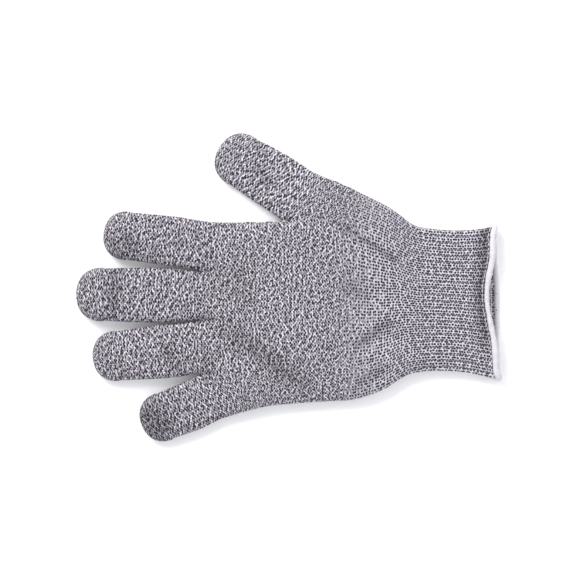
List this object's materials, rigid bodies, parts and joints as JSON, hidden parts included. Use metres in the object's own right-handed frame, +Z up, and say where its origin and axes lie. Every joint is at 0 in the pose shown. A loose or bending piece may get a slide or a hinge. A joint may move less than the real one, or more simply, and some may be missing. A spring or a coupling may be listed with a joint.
{
  "type": "cut resistant glove",
  "caption": "Seamless knitted glove lying flat, with hinged finger, thumb and wrist creases, a ribbed elastic cuff and an overlocked hem.",
  "frame": {"origin": "middle of the footprint, on the surface that the glove lies on", "axes": "+X from the fingertips to the cuff's mouth, +Y towards the thumb's side, +Z up out of the palm's face"},
  "size_m": [0.2387, 0.1719, 0.014],
  "materials": {
    "knit": "melange plain knit of pale lilac and near-black yarns, matt and slightly hairy",
    "rib_knit": "the same melange yarn in 2x1 rib, matt",
    "overlock_thread": "bulked white polyester thread, matt",
    "needle_thread": "fine spun white sewing thread, matt",
    "elastic_yarn": "covered elastic yarn, matt"
  },
  "bodies": {
    "palm": {"palm_upper": "knit", "palm_lower": "knit"},
    "index_base": {"index_base": "knit"},
    "index_middle": {"index_middle": "knit"},
    "index_tip": {"index_tip": "knit"},
    "middle_base": {"middle_base": "knit"},
    "middle_middle": {"middle_middle": "knit"},
    "middle_tip": {"middle_tip": "knit"},
    "ring_base": {"ring_base": "knit"},
    "ring_middle": {"ring_middle": "knit"},
    "ring_tip": {"ring_tip": "knit"},
    "little_base": {"little_base": "knit"},
    "little_middle": {"little_middle": "knit"},
    "little_tip": {"little_tip": "knit"},
    "thumb_base": {"thumb_base": "knit"},
    "thumb_tip": {"thumb_tip": "knit"},
    "cuff": {"cuff_rib": "rib_knit", "cuff_hem": "overlock_thread", "cuff_needle_thread": "needle_thread", "cuff_elastic_yarns": "elastic_yarn"}
  },
  "joints": [
    {"name": "index_knuckle", "type": "hinge", "parent": "palm", "child": "index_base", "pos_m": [-0.05715, 0.0251, 0.01055], "axis": [0, 1, 0], "range_deg": [0, 85]},
    {"name": "index_middle_crease", "type": "hinge", "parent": "index_base", "child": "index_middle", "pos_m": [-0.07702, 0.0274, 0.01055], "axis": [0, 1, 0], "range_deg": [0, 95]},
    {"name": "index_tip_crease", "type": "hinge", "parent": "index_middle", "child": "index_tip", "pos_m": [-0.09143, 0.02907, 0.01055], "axis": [0, 1, 0], "range_deg": [0, 60]},
    {"name": "middle_knuckle", "type": "hinge", "parent": "palm", "child": "middle_base", "pos_m": [-0.0572, -0.00421, 0.01085], "axis": [0, 1, 0], "range_deg": [0, 85]},
    {"name": "middle_middle_crease", "type": "hinge", "parent": "middle_base", "child": "middle_middle", "pos_m": [-0.0832, -0.0039, 0.01085], "axis": [0, 1, 0], "range_deg": [0, 95]},
    {"name": "middle_tip_crease", "type": "hinge", "parent": "middle_middle", "child": "middle_tip", "pos_m": [-0.1027, -0.00366, 0.01085], "axis": [0, 1, 0], "range_deg": [0, 60]},
    {"name": "ring_knuckle", "type": "hinge", "parent": "palm", "child": "ring_base", "pos_m": [-0.05717, -0.03406, 0.01055], "axis": [0, 1, 0], "range_deg": [0, 85]},
    {"name": "ring_middle_crease", "type": "hinge", "parent": "ring_base", "child": "ring_middle", "pos_m": [-0.07957, -0.03618, 0.01055], "axis": [0, 1, 0], "range_deg": [0, 95]},
    {"name": "ring_tip_crease", "type": "hinge", "parent": "ring_middle", "child": "ring_tip", "pos_m": [-0.09649, -0.03778, 0.01055], "axis": [0, 1, 0], "range_deg": [0, 60]},
    {"name": "little_knuckle", "type": "hinge", "parent": "palm", "child": "little_base", "pos_m": [-0.05362, -0.06503, 0.01005], "axis": [0, 1, 0], "range_deg": [0, 85]},
    {"name": "little_middle_crease", "type": "hinge", "parent": "little_base", "child": "little_middle", "pos_m": [-0.06445, -0.06919, 0.01005], "axis": [0, 1, 0], "range_deg": [0, 95]},
    {"name": "little_tip_crease", "type": "hinge", "parent": "little_middle", "child": "little_tip", "pos_m": [-0.07453, -0.07306, 0.01005], "axis": [0, 1, 0], "range_deg": [0, 60]},
    {"name": "thumb_base_crease", "type": "hinge", "parent": "palm", "child": "thumb_base", "pos_m": [-0.00218, 0.05564, 0.01105], "axis": [0.5195, 0.8545, 0], "range_deg": [0, 50]},
    {"name": "thumb_tip_crease", "type": "hinge", "parent": "thumb_base", "child": "thumb_tip", "pos_m": [-0.02141, 0.06733, 0.01105], "axis": [0.5195, 0.8545, 0], "range_deg": [0, 70]},
    {"name": "wrist_fold", "type": "hinge", "parent": "palm", "child": "cuff", "pos_m": [0.066, -0.0054, 0.0127], "axis": [0, -1, 0], "range_deg": [0, 60]}
  ]
}
